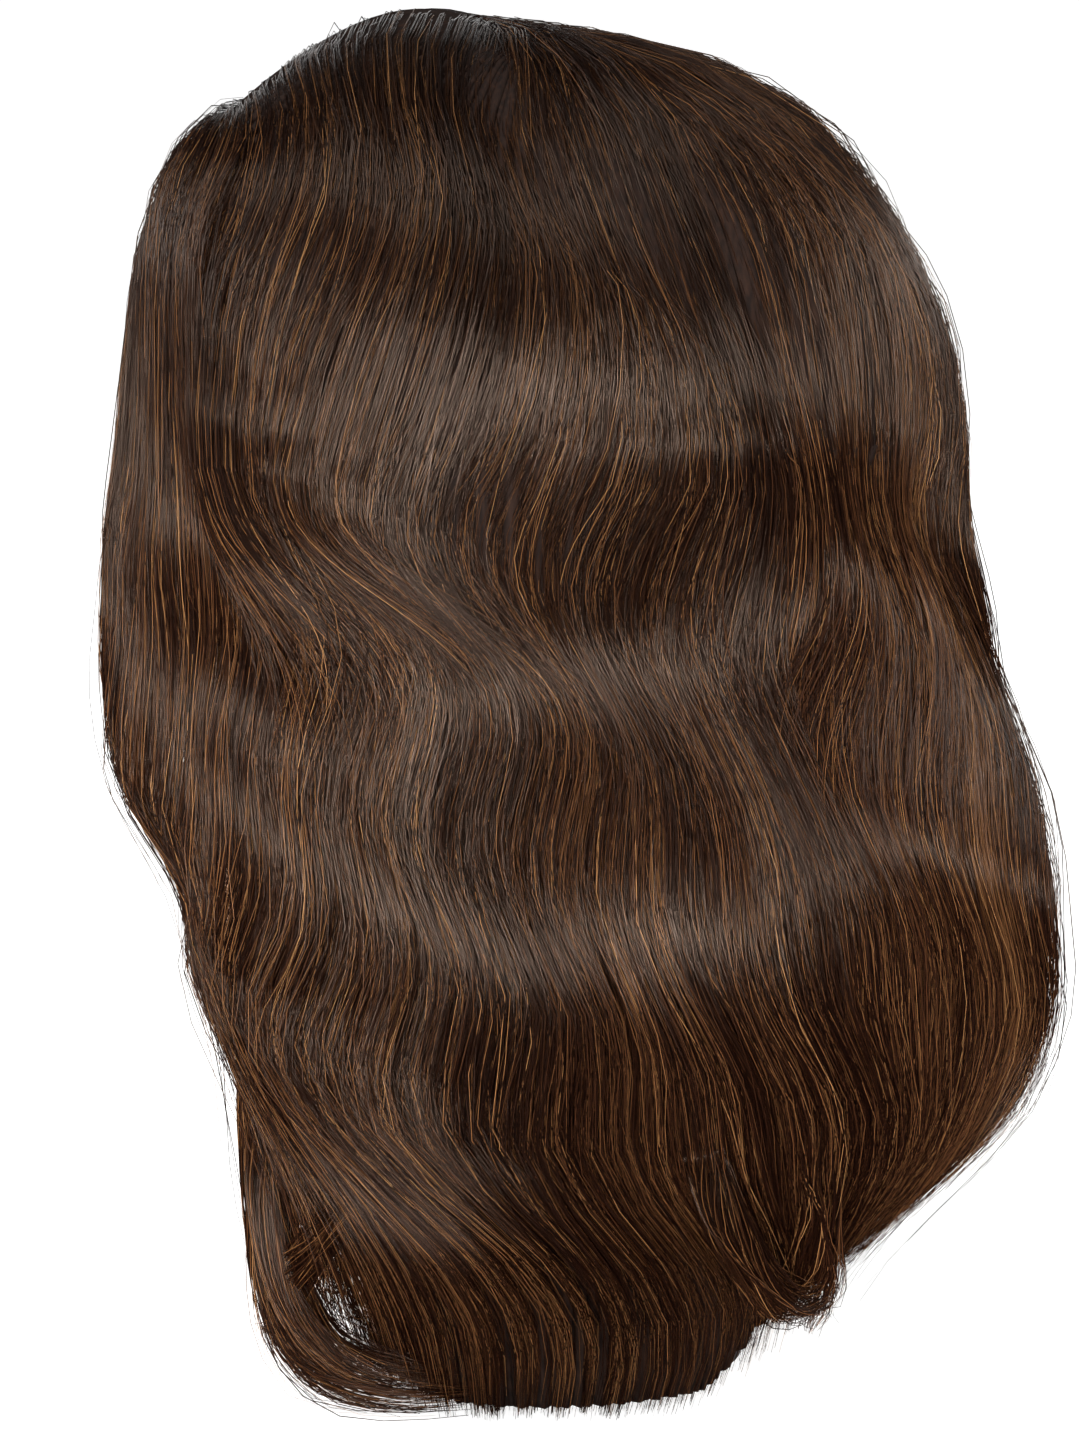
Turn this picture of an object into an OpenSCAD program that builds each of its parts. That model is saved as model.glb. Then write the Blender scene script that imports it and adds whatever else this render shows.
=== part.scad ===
// Mannequin training head: vinyl skin over a foam core, plugged neck base and rooted layered hair.
// The head faces -Y, its own left is +X, and the origin is the centre of the neck base on the table.

/* [Head] */
// Height of the bare crown above the table
crown_h = 313; // [308:1:318]
// Height of the widest level of the skull
widest_h = 225; // [222:1:228]
// Width of the bare skull
skull_w = 152; // [148:1:156]
// Depth of the bare skull from brow to occiput
skull_d = 181; // [178:1:184]
// How far the skull's centre lies in front of the neck's
skull_lead = 3; // [2:1:5]
// Thickness of the vinyl skin
skin_t = 5; // [3:0.5:6]

/* [Neck and base] */
// Diameter of the neck base
neck_d = 90; // [88:1:92]
// Thickness of the flange that the head stands on
flange_t = 3; // [2:0.5:4]
// Bore of the socket for a clamp's or tripod's peg
socket_d = 23; // [20:0.5:24]
// Depth of the socket
socket_h = 75; // [60:1:80]
// Wall of the socket sleeve
sleeve_t = 3.5; // [2.5:0.5:4]

/* [Eyes] */
// Distance between the centres of the eyes
eye_gap = 64; // [62:1:66]
// Height of the eyes above the table
eye_h = 202; // [200:1:204]
// Diameter of an inset eye
eye_d = 24; // [23:0.5:25]

/* [Hair] */
// Thickness of the combed hair over the scalp
hair_t = 9; // [8.6:0.1:10]
// Height above the table where the upper layer of hair ends
layer_h = 162; // [158:1:166]
// How far the hair fans out past the skull at the nape
nape_flare = 21; // [18:1:23]
// How far the hair fans out past the skull at the sides
side_flare = 15; // [10:1:16]

/* [Hidden] */

// Skull and neck: [height, y of the front], [height, y of the back], [height, half width]
dome_power = 2.05;
dome_tilt = 0.25;
hair_tilt = 0.5;
centre_y = -skull_lead;
dome_h = crown_h - widest_h;
half_w = skull_w / 2;
half_d = skull_d / 2;
front_y = centre_y - half_d;
back_y = centre_y + half_d;
neck_r = neck_d / 2;
front_line = [
    [0, -neck_r], [16, -neck_r], [38, 4 - neck_r], [60, 4 - neck_r], [76, 1 - neck_r],
    [87, front_y + 30], [95, front_y + 11], [106, front_y + 6], [130, front_y + 5],
    [160, front_y + 4], [185, front_y + 3], [205, front_y + 3], [widest_h, front_y]
];
back_line = [
    [0, neck_r], [16, neck_r], [38, neck_r - 4], [60, neck_r - 5], [85, neck_r - 3],
    [110, neck_r + 8], [140, neck_r + 21], [175, back_y - 7], [205, back_y - 1], [widest_h, back_y]
];
side_line = [
    [0, neck_r], [16, neck_r], [38, neck_r - 5], [60, neck_r - 6], [76, neck_r - 5],
    [90, neck_r + 4], [105, half_w - 14], [130, half_w - 8], [160, half_w - 4],
    [195, half_w - 1], [widest_h, half_w]
];

// Hair envelope, as how far it stands past its own widest outline: [height, distance]
hair_front = [
    [0, -33], [12, -31], [36, -30], [71, -23], [100, -15], [133, 1], [162, 6], [190, 3], [widest_h, 0]
];
hair_side = [
    [0, -14], [15, -6], [40, 4], [68, side_flare - 3], [96, side_flare], [124, side_flare - 5],
    [150, 3], [172, 0], [195, -1], [widest_h, 0]
];
hair_back = [
    [0, -34], [22, -24], [36, -13], [52, 3], [65, nape_flare - 7], [85, nape_flare - 1],
    [104, nape_flare], [128, nape_flare - 2], [152, nape_flare - 8], [176, 5], [205, -1], [widest_h, 0]
];
layer_gap = 0.4;
upper_t = 4;
lower_t = 3.2;
hem_t = 10;
seam_angle = 0.15;
clearance = 0.4;

// ---- Curves ----
function ease(t) = let (c = min(1, max(0, t))) c * c * (3 - 2 * c);
function bell(d, width) = exp(-pow(d / width, 2) / 2);
function plateau(d, width) = exp(-pow(d / width, 4));

// Smooth curve through a list of [level, value], by cubic pieces that share their slopes
function piece(list, t, i = 0) = i >= len(list) - 2 || t < list[i + 1][0] ? i : piece(list, t, i + 1);
function slope(list, i) =
    let (a = max(0, i - 1), b = min(len(list) - 1, i + 1))
    (list[b][1] - list[a][1]) / (list[b][0] - list[a][0]);
function curve(list, t) =
    let (
        i = piece(list, t),
        a = list[i],
        b = list[i + 1],
        w = b[0] - a[0],
        u = min(1, max(0, (t - a[0]) / w)),
        u2 = u * u,
        u3 = u2 * u
    )
    (2 * u3 - 3 * u2 + 1) * a[1] + (u3 - 2 * u2 + u) * w * slope(list, i)
    + (3 * u2 - 2 * u3) * b[1] + (u3 - u2) * w * slope(list, i + 1);

// ---- Closed skins from grids of points ----
function quad(a, b, c, d) = [[a, b, c], [a, c, d]];
function flat(lists) = [for (l = lists) for (e = l) e];

// Closed solid between an outer and an inner grid, with rows that go down and columns to the right
module slab(outer, inner) {
    rows = len(outer);
    cols = len(outer[0]);
    last = rows - 1;
    side = cols - 1;
    base = rows * cols;
    faces = [
        for (i = [0:rows - 2]) for (j = [0:cols - 2])
            let (a = i * cols + j, b = a + 1, c = b + cols, d = a + cols)
            each concat(quad(a, b, c, d), quad(base + b, base + a, base + d, base + c)),
        for (j = [0:cols - 2])
            let (a = j, b = j + 1, c = last * cols + j, d = c + 1)
            each concat(quad(b, a, base + a, base + b), quad(c, d, base + d, base + c)),
        for (i = [0:rows - 2])
            let (a = i * cols, b = a + cols, c = a + side, d = b + side)
            each concat(quad(a, b, base + b, base + a), quad(d, c, base + c, base + d))
    ];
    polyhedron(points = concat(flat(outer), flat(inner)), faces = faces, convexity = 6);
}

// Faces of a bag: rings that go up, closed by one pole after the last ring; out is false on the inside
function bag(rows, cols, start, out) = [
    for (i = [0:rows - 2]) for (j = [0:cols - 1])
        let (
            k = (j + 1) % cols,
            a = start + i * cols + j,
            b = a + cols,
            c = start + (i + 1) * cols + k,
            d = start + i * cols + k
        )
        each out ? quad(a, b, c, d) : quad(a, d, c, b),
    for (j = [0:cols - 1])
        let (k = (j + 1) % cols, a = start + (rows - 1) * cols, pole = start + rows * cols)
        out ? [a + j, pole, a + k] : [a + k, pole, a + j]
];

// ---- Head ----
// Angle 0 is the face and 90 the head's left; the columns crowd together over the face
function column_angle(j, cols, crowd) = 360 * j / cols - crowd * sin(360 * j / cols);

// Width of the dome at a lift in degrees, as a share of its widest; the forehead is fuller than the back
function dome_scale(lift, angle, front_tilt) =
    let (power = dome_power + (cos(angle) > 0 ? front_tilt : dome_tilt) * cos(angle))
    pow(max(0, 1 - pow(sin(lift), power)), 1 / power);

// Level 0 to 1 climbs to the widest height, and 1 to 2 over the dome
function level_z(level, low, inset) =
    level <= 1 ? low + (widest_h - low) * level : widest_h + (dome_h - inset) * sin(90 * (level - 1));
function skull_point(angle, level, low, inset) =
    let (
        z = level_z(level, low, inset),
        k = level <= 1 ? 1 : dome_scale(90 * (level - 1), angle, dome_tilt),
        h = min(z, widest_h),
        cy = centre_y * ease((h - 55) / 60),
        a = curve(side_line, h) - inset,
        f = cy - curve(front_line, h) - inset,
        b = curve(back_line, h) - cy - inset
    )
    [a * k * sin(angle), cy - (cos(angle) > 0 ? f : b) * k * cos(angle), z];

// How far the face stands out of the plain skull, along -Y
function nose(x, z) =
    16 * ease((208 - z) / 52) * ease((z - 150) / 9) * bell(x, 6 + 3 * ease((190 - z) / 30))
    + 6 * bell(abs(x) - 12, 4.5) * bell(z - 157, 5);
function eye_bed(x, z) =
    -7.5 * plateau(norm([(abs(x) - eye_gap / 2) / 1.25, z - eye_h]), 13) + 3 * bell(abs(x) - 30, 16) * bell(z - 222, 6);
function mouth(x, z) =
    bell(x, 14) * (5 * bell(z - 137, 4) + 5.5 * bell(z - 127, 4.5) - 2 * bell(z - 132, 1.6));
function chin(x, z) = 6 * bell(x, 16) * bell(z - 103, 10) - 3 * bell(x, 14) * bell(z - 117, 5);
function cheek(x, z) = 4 * bell(abs(x) - 44, 16) * bell(z - 172, 16);
function face_relief(x, z) = nose(x, z) + eye_bed(x, z) + mouth(x, z) + chin(x, z) + cheek(x, z);
function ear_relief(angle, z) = 0.9 * bell(abs(abs(angle - 180) - 84), 8) * plateau(z - 186, 22);
function skin_point(angle, level, low) =
    let (
        p = skull_point(angle, level, low, 0),
        ahead = cos(angle) > 0 && level <= 1.5 ? ease(2.2 * cos(angle)) : 0,
        e = ear_relief(angle, p[2])
    )
    p + [e * sign(p[0]), -ahead * face_relief(p[0], p[2]), 0];

skin_cols = 48;
crowd = 34;
skin_low = flange_t + 0.2;
skin_rows = concat([for (i = [0:33]) i / 33], [for (lift = [12, 25, 38, 50, 62, 73, 82]) 1 + lift / 90]);
lining_rows = concat([for (i = [0:17]) i / 17], [for (lift = [18, 36, 54, 72]) 1 + lift / 90]);

module head_skin() {
    outer = [for (r = skin_rows) for (j = [0:skin_cols - 1])
        skin_point(column_angle(j, skin_cols, crowd), r, skin_low)];
    inner = [for (r = lining_rows) for (j = [0:skin_cols - 1])
        skull_point(column_angle(j, skin_cols, crowd), r, skin_low, skin_t)];
    start = len(outer) + 1;
    rim = [for (j = [0:skin_cols - 1])
        let (k = (j + 1) % skin_cols) each quad(j, k, start + k, start + j)];
    color("#e3b79a")
        polyhedron(
            points = concat(
                outer, [[0, centre_y, crown_h]],
                inner, [[0, centre_y, crown_h - skin_t]]
            ),
            faces = concat(
                bag(len(skin_rows), skin_cols, 0, true),
                bag(len(lining_rows), skin_cols, start, false),
                rim
            ),
            convexity = 8
        );
}

core_cols = 24;
plug_h = 11;
plug_r = neck_r - skin_t - 1.5;
core_low = flange_t + plug_h + clearance;
sleeve_r = socket_d / 2 + sleeve_t;
sleeve_h = socket_h + sleeve_t;

module foam_core() {
    inset = skin_t + 1.9;
    points = [for (r = lining_rows) for (j = [0:core_cols - 1])
        skull_point(column_angle(j, core_cols, crowd), r, core_low, inset)];
    floor_face = [[for (j = [0:core_cols - 1]) j]];
    color("#efe6c8")
        difference() {
            polyhedron(
                points = concat(points, [[0, centre_y, crown_h - inset]]),
                faces = concat(bag(len(lining_rows), core_cols, 0, true), floor_face),
                convexity = 4
            );
            translate([0, 0, core_low - 1])
                cylinder(r = sleeve_r + clearance, h = sleeve_h + clearance + 1 - core_low, $fn = 64);
        }
}

seat_r = sleeve_r + 5;
seat_t = 2;

module base_plate() {
    color("#26262a")
        difference() {
            union() {
                cylinder(r = neck_r, h = flange_t, $fn = 96);
                cylinder(r = plug_r, h = flange_t + plug_h, $fn = 96);
            }
            translate([0, 0, -1])
                cylinder(r = sleeve_r + clearance / 2, h = flange_t + plug_h + 2, $fn = 64);
            translate([0, 0, -1])
                cylinder(r = seat_r + clearance / 2, h = seat_t + clearance / 2 + 1, $fn = 64);
        }
}

module socket_sleeve() {
    color("#3a3a40")
        difference() {
            union() {
                cylinder(r = sleeve_r, h = sleeve_h, $fn = 64);
                cylinder(r = seat_r, h = seat_t, $fn = 64);
            }
            translate([0, 0, -1])
                cylinder(d = socket_d, h = socket_h + 1, $fn = 64);
        }
}

// ---- Eyes ----
// An eye is a low dome of a sphere, set along the line from the skull's centre
eye_turn = 22;
eye_reach = 81.4;
eye_dome = 3.6;
eye_sink = eye_d / 2 - eye_dome;

module at_eye(side) {
    translate([0, centre_y, eye_h])
        rotate([0, 0, side * eye_turn])
            translate([0, -eye_reach, 0])
                rotate([90, 0, 0])
                    children();
}

module eye(side) {
    color("#5b4a3c")
        at_eye(side)
            intersection() {
                translate([0, 0, -eye_sink])
                    sphere(d = eye_d, $fn = 64);
                translate([-eye_d, -eye_d, 0])
                    cube([2 * eye_d, 2 * eye_d, eye_d]);
            }
}

lash_r = 9.6;
lash_w = 1.6;
lash_t = 0.8;
lash_lift = 2.6;

module lash(side) {
    color("#1c1411")
        at_eye(side)
            translate([0, 0, lash_lift])
                rotate([0, 0, 25])
                    rotate_extrude(angle = 130, $fn = 48)
                        translate([lash_r, 0])
                            square([lash_w, lash_t]);
}

// ---- Hair ----
// A share of the front, side and back outlines by the square of sine and cosine adds up to one
function fan(angle, z) =
    let (c = cos(angle), s = sin(angle))
    s * s * curve(hair_side, z) + c * c * (c > 0 ? curve(hair_front, z) : curve(hair_back, z));
function hair_point(angle, z, lift, offset) =
    let (
        k = lift > 0 ? dome_scale(lift, angle, hair_tilt) : 1,
        h = lift > 0 ? widest_h + (dome_h + hair_t + offset) * sin(lift) : z,
        out = hair_t + offset + (lift > 0 ? 0 : fan(angle, z))
    )
    [(half_w + out) * k * sin(angle), centre_y - (half_d + out) * k * cos(angle), h];

function under(z) = ease((z - layer_h - 3) / 38);

// Upper layer: it lies on the outline and ends a little proud of the layer below
function upper_out(z) = 2.5 * (1 - under(z));
function upper_in(z) = -upper_t * under(z) + layer_gap * (1 - under(z));
// Lower layer: it lies under the upper one and takes the outline below it
function lower_out(z) = -(upper_t + layer_gap) * under(z);
function lower_in(z) = lower_out(z) - lower_t - (hem_t - lower_t) * ease((150 - z) / 60);

function angles(from, to, n) =
    [for (j = [0:n]) from + seam_angle + (to - from - 2 * seam_angle) * j / n];

// Rows on the dome, then the levels that both layers share, then even steps down to the hem
shared_rows = 4;
function shared_z(i) = widest_h - (widest_h - layer_h - 3) * i / shared_rows;
function row_z(i, low, n) =
    i <= shared_rows ? max(low, shared_z(i)) : shared_z(shared_rows)
    + (low - shared_z(shared_rows)) * (i - shared_rows) / n;
function offset_at(z, is_upper, is_outer) =
    is_outer ? (is_upper ? upper_out(z) : lower_out(z)) : (is_upper ? upper_in(z) : lower_in(z));
function hair_grid(turn, lifts, lows, n, is_upper, is_outer) = concat(
    [for (lift = lifts) [for (a = turn)
        hair_point(a, widest_h, lift, offset_at(widest_h, is_upper, is_outer))]],
    [for (i = [0:shared_rows + n]) [for (j = [0:len(turn) - 1])
        let (z = row_z(i, lows[j], n))
        hair_point(turn[j], z, 0, offset_at(z, is_upper, is_outer))]]
);

// One section of hair between two angles, from a row on the dome to the given heights of its hem
module section(from, to, cols, dome_rows, hems, n, is_upper) {
    turn = angles(from, to, cols);
    lifts = [for (i = [dome_rows:-1:1]) crown_lift * i / dome_steps];
    lows = [for (j = [0:cols]) hems[0] + (hems[1] - hems[0]) * ease(j / cols)];
    slab(
        hair_grid(turn, lifts, lows, n, is_upper, true),
        hair_grid(turn, lifts, lows, n, is_upper, false)
    );
}

brown = "#3f2a1d";
light_brown = "#5a3d28";
dark_brown = "#2e1d14";
crown_lift = 88;
dome_steps = 6;
upper_dome = dome_steps;
lower_dome = 2;
hem_low = 1.5;
hem_back = 34;

module fringe_left() {
    color(brown) section(-10, 40, 8, upper_dome, [138, 60], 5, true);
}

// The short front hair on the right of the parting ends at the hairline
module fringe_right() {
    turn = angles(306, 350, 6);
    lifts = [for (i = [dome_steps:-1:2]) crown_lift * i / dome_steps];
    color(brown)
        slab(
            [for (l = lifts) [for (a = turn) hair_point(a, widest_h, l, 0)]],
            [for (l = lifts) [for (a = turn) hair_point(a, widest_h, l, -upper_t)]]
        );
}

module top_side_left() {
    color(light_brown) section(40, 106, 9, upper_dome, [layer_h - 2, layer_h], 1, true);
}

module top_side_right() {
    color(light_brown) section(250, 306, 8, upper_dome, [layer_h, layer_h - 2], 1, true);
}

module crown_back_left() {
    color(brown) section(106, 178, 9, upper_dome, [layer_h, layer_h], 1, true);
}

module crown_back_right() {
    color(light_brown) section(178, 250, 9, upper_dome, [layer_h, layer_h], 1, true);
}

module side_front_left() {
    color(dark_brown) section(40, 68, 4, lower_dome, [52, 44], 6, false);
}

module side_left() {
    color(brown) section(68, 108, 6, lower_dome, [14, hem_low], 8, false);
}

module side_right() {
    color(brown) section(252, 306, 7, lower_dome, [hem_low, 40], 8, false);
}

module back_left() {
    color(light_brown) section(108, 145, 5, lower_dome, [hem_low, hem_back], 8, false);
}

module back_right() {
    color(dark_brown) section(215, 252, 5, lower_dome, [hem_back, hem_low], 8, false);
}

module nape_left() {
    color(dark_brown) section(145, 180, 5, lower_dome, [hem_back, hem_back + 2], 8, false);
}

module nape_right() {
    color(brown) section(180, 215, 5, lower_dome, [hem_back + 2, hem_back], 8, false);
}

// A curl is a round lock swept along a route of points, each with its own radius as a fourth number
function direction(route, i) =
    let (
        a = route[max(0, i - 1)],
        b = route[min(len(route) - 1, i + 1)],
        d = [b[0] - a[0], b[1] - a[1], b[2] - a[2]]
    )
    d / norm(d);
function ring(p, along, sides) =
    let (
        across = cross(along, [-along[1], along[0], 0.3]),
        u = across / norm(across),
        v = cross(u, along)
    )
    [for (k = [0:sides - 1]) [p[0], p[1], p[2]] + p[3] * (cos(360 * k / sides) * u + sin(360 * k / sides) * v)];

module curl(route, sides) {
    rings = [for (i = [0:len(route) - 1]) ring(route[i], direction(route, i), sides)];
    last = (len(route) - 1) * sides;
    wall = [for (i = [0:len(route) - 2]) for (k = [0:sides - 1])
        let (m = (k + 1) % sides, a = i * sides + k, b = i * sides + m)
        each quad(a, b, b + sides, a + sides)];
    caps = [[for (k = [0:sides - 1]) sides - 1 - k], [for (k = [0:sides - 1]) last + k]];
    polyhedron(points = flat(rings), faces = concat(wall, caps), convexity = 6);
}

// [x, y from the centre of the skull, z, radius]
front_curl_route = [
    [57, -57, 36, 6], [59, -56, 24, 7], [62, -51, 13, 7], [66, -42, 7.5, 6],
    [70, -31, 6, 5], [72, -20, 5, 4], [72, -10, 4.5, 3]
];
tip_curl_route = [
    [44, 60, 27, 3], [40, 63, 22, 4], [35, 67, 20, 4], [31, 71, 22, 3], [28, 74, 26, 2]
];

module front_curl() {
    color(dark_brown)
        translate([0, centre_y, 0])
            curl(front_curl_route, 10);
}

module tip_curl() {
    color(brown)
        translate([0, centre_y, 0])
            curl(tip_curl_route, 10);
}

head_skin();
foam_core();
base_plate();
socket_sleeve();
eye(1);  // eye_left
eye(-1);  // eye_right
lash(1);  // lash_left
lash(-1);  // lash_right
fringe_left();
fringe_right();
top_side_left();
top_side_right();
crown_back_left();
crown_back_right();
side_front_left();
side_left();
side_right();
back_left();
back_right();
nape_left();
nape_right();
front_curl();
tip_curl();
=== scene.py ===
"""Mannequin training head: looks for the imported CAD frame.

Lengths are in millimetres until a mesh is made. Angles round the head start at the face and go to its left.
"""
import bpy
import math
import numpy as np
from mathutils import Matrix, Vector


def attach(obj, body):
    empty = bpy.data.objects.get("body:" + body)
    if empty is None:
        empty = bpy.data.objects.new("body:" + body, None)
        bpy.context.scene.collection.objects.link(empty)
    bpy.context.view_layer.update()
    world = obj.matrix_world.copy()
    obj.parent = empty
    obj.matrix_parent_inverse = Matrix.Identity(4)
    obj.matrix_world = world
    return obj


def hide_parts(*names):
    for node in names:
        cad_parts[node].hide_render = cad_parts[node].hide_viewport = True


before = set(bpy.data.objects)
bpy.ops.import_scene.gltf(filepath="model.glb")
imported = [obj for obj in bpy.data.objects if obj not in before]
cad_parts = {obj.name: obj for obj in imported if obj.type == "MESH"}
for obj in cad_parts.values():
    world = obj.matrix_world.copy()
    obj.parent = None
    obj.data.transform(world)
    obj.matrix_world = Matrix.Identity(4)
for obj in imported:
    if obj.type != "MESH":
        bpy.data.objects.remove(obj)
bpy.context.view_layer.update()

MM = 0.001

# ---- Shape of the head, as in the CAD, and of the combed hair, a little slimmer at the sides ----
CROWN_H = 313.0
WIDEST_H = 225.0
HALF_W = 76.0
HALF_D = 90.5
CENTRE_Y = -3.0
NECK_R = 45.0
SKIN_LOW = 3.2
EYE_X = 32.0
EYE_H = 202.0
HAIR_T = 9.0
SIDE_FLARE = 15.0
NAPE_FLARE = 21.0
FRONT_Y = CENTRE_Y - HALF_D
BACK_Y = CENTRE_Y + HALF_D
DOME_H = CROWN_H - WIDEST_H

FRONT_LINE = [
    (0, -NECK_R), (16, -NECK_R), (38, 4 - NECK_R), (60, 4 - NECK_R), (76, 1 - NECK_R),
    (87, FRONT_Y + 30), (95, FRONT_Y + 11), (106, FRONT_Y + 6), (130, FRONT_Y + 5),
    (160, FRONT_Y + 4), (185, FRONT_Y + 3), (205, FRONT_Y + 3), (WIDEST_H, FRONT_Y),
]
BACK_LINE = [
    (0, NECK_R), (16, NECK_R), (38, NECK_R - 4), (60, NECK_R - 5), (85, NECK_R - 3),
    (110, NECK_R + 8), (140, NECK_R + 21), (175, BACK_Y - 7), (205, BACK_Y - 1), (WIDEST_H, BACK_Y),
]
SIDE_LINE = [
    (0, NECK_R), (16, NECK_R), (38, NECK_R - 5), (60, NECK_R - 6), (76, NECK_R - 5),
    (90, NECK_R + 4), (105, HALF_W - 14), (130, HALF_W - 8), (160, HALF_W - 4),
    (195, HALF_W - 1), (WIDEST_H, HALF_W),
]
HAIR_FRONT = [
    (0, -33), (12, -31), (36, -30), (71, -23), (100, -15), (133, 1), (162, 6), (190, 3), (WIDEST_H, 0),
]
HAIR_SIDE = [
    (0, -14), (15, -7), (40, 2), (68, SIDE_FLARE - 8), (96, SIDE_FLARE - 7), (124, SIDE_FLARE - 11),
    (150, 0), (172, -3), (195, -2), (WIDEST_H, 0),
]
HAIR_BACK = [
    (0, -34), (22, -22), (36, -10), (52, 5), (65, NAPE_FLARE - 7), (85, NAPE_FLARE - 1),
    (104, NAPE_FLARE), (128, NAPE_FLARE - 2), (152, NAPE_FLARE - 8), (176, 5), (205, -1), (WIDEST_H, 0),
]
# Low ridges and hollows of the combed hair: angle, its spread, height, its spread, how far out
RIDGES = [
    (60, 34, 202, 13, 3.2), (50, 14, 174, 14, -3.5), (128, 30, 180, 25, -5.6), (124, 26, 122, 17, 3.5),
    (78, 10, 96, 22, -2.2), (98, 7, 150, 26, -1.8), (128, 24, 58, 20, -4.0), (168, 9, 120, 40, -2.5),
    (14, 36, 262, 22, 3.4), (178, 40, 275, 22, 2.6), (180, 30, 212, 16, -2.0), (180, 34, 86, 34, 1.6),
    (204, 24, 190, 20, 2.5), (228, 18, 150, 20, -3.0), (262, 22, 196, 14, 3.0), (285, 16, 168, 16, -3.0),
    (250, 20, 96, 18, 2.5), (50, 12, 110, 15, 3.8),
]


def ease(t):
    t = np.clip(t, 0.0, 1.0)
    return t * t * (3 - 2 * t)


def bell(d, width):
    return np.exp(-((d / width) ** 2) / 2)


def plateau(d, width):
    return np.exp(-((d / width) ** 4))


def from_face(angle):
    """Degrees from the face, either way round."""
    return np.degrees(np.abs((angle + math.pi) % (2 * math.pi) - math.pi))


def curve(keys, t):
    """Smooth curve through (level, value) pairs, by cubic pieces that share their slopes."""
    x, y = np.array(keys, dtype=float).T
    slope = np.empty_like(y)
    slope[1:-1] = (y[2:] - y[:-2]) / (x[2:] - x[:-2])
    slope[0] = (y[1] - y[0]) / (x[1] - x[0])
    slope[-1] = (y[-1] - y[-2]) / (x[-1] - x[-2])
    i = np.clip(np.searchsorted(x, t, side="right") - 1, 0, len(x) - 2)
    w = x[i + 1] - x[i]
    u = np.clip((t - x[i]) / w, 0, 1)
    u2, u3 = u * u, u * u * u
    return (
        (2 * u3 - 3 * u2 + 1) * y[i] + (u3 - 2 * u2 + u) * w * slope[i]
        + (3 * u2 - 2 * u3) * y[i + 1] + (u3 - u2) * w * slope[i + 1]
    )


def dome_power(cos_angle):
    """Fullness of the combed dome, most at the forehead and least at the back."""
    return 2.05 + 0.38 * np.maximum(cos_angle, 0) + 0.25 * np.minimum(cos_angle, 0)


def fan(angle, z):
    """How far the hair stands past its widest outline, at an angle in radians from the face."""
    c, s = np.cos(angle), np.sin(angle)
    ends = np.where(c > 0, curve(HAIR_FRONT, z), curve(HAIR_BACK, z))
    return s * s * curve(HAIR_SIDE, z) + c * c * ends


def relief(angle, z):
    """Height of the ridges at an angle in radians."""
    turn = np.degrees(angle) % 360
    return sum(out * bell(turn - at, wide) * bell(z - level, tall) for at, wide, level, tall, out in RIDGES)


def crown(x, y):
    """How far the combed crown stands above the dome: raised in front of its middle, lower behind it."""
    raised = 4.8 * bell(y - CENTRE_Y + 33, 19) * bell(x + 4, 34)
    return raised - 4.4 * bell(y - CENTRE_Y - 17, 25) * bell(x, 46)


def hanging(angle, z, offset):
    """Point of the hair below its widest level; offset is its distance outside the combed outline."""
    out = HAIR_T + offset + fan(angle, z)
    x = (HALF_W + out) * np.sin(angle)
    y = CENTRE_Y - (HALF_D + out) * np.cos(angle)
    return np.stack([x, y, z + 0 * x], axis=-1)


def domed(x, y, offset):
    """Point of the hair over the dome, above a place in plan."""
    nx = x / (HALF_W + HAIR_T + offset)
    ny = (CENTRE_Y - y) / (HALF_D + HAIR_T + offset)
    r = np.clip(np.hypot(nx, ny), 1e-6, 1.0)
    power = dome_power(ny / r)
    z = WIDEST_H + (DOME_H + HAIR_T + offset) * (1 - r**power) ** (1 / power)
    return np.stack([x, y, z], axis=-1)


# ---- Meshes ----
def link(obj):
    bpy.context.scene.collection.objects.link(obj)
    return obj


def mesh_from(name, verts, quads, tris=None):
    """Mesh from arrays in millimetres."""
    mesh = bpy.data.meshes.new(name)
    tris = np.empty((0, 3), dtype=np.int32) if tris is None else tris
    loops = np.concatenate([quads.ravel(), tris.ravel()]).astype(np.int32)
    starts = np.concatenate([
        np.arange(len(quads)) * 4,
        len(quads) * 4 + np.arange(len(tris)) * 3,
    ]).astype(np.int32)
    mesh.vertices.add(len(verts))
    mesh.vertices.foreach_set("co", (verts * MM).astype(np.float32).ravel())
    mesh.loops.add(len(loops))
    mesh.loops.foreach_set("vertex_index", loops)
    mesh.polygons.add(len(starts))
    mesh.polygons.foreach_set("loop_start", starts)
    mesh.update(calc_edges=True)
    mesh.shade_smooth()
    return mesh, loops


def point_values(mesh, name, values):
    """Gives each point of a mesh a value for its material to read."""
    mesh.attributes.new(name, "FLOAT", "POINT").data.foreach_set("value", values.astype(np.float32))


def piece(name, mesh, material, slot_name, *stands_for):
    obj = link(bpy.data.objects.new(name, mesh))
    obj.data.materials.append(material)
    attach(obj, "root")
    if stands_for:
        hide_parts(*stands_for)
    return obj


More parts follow.
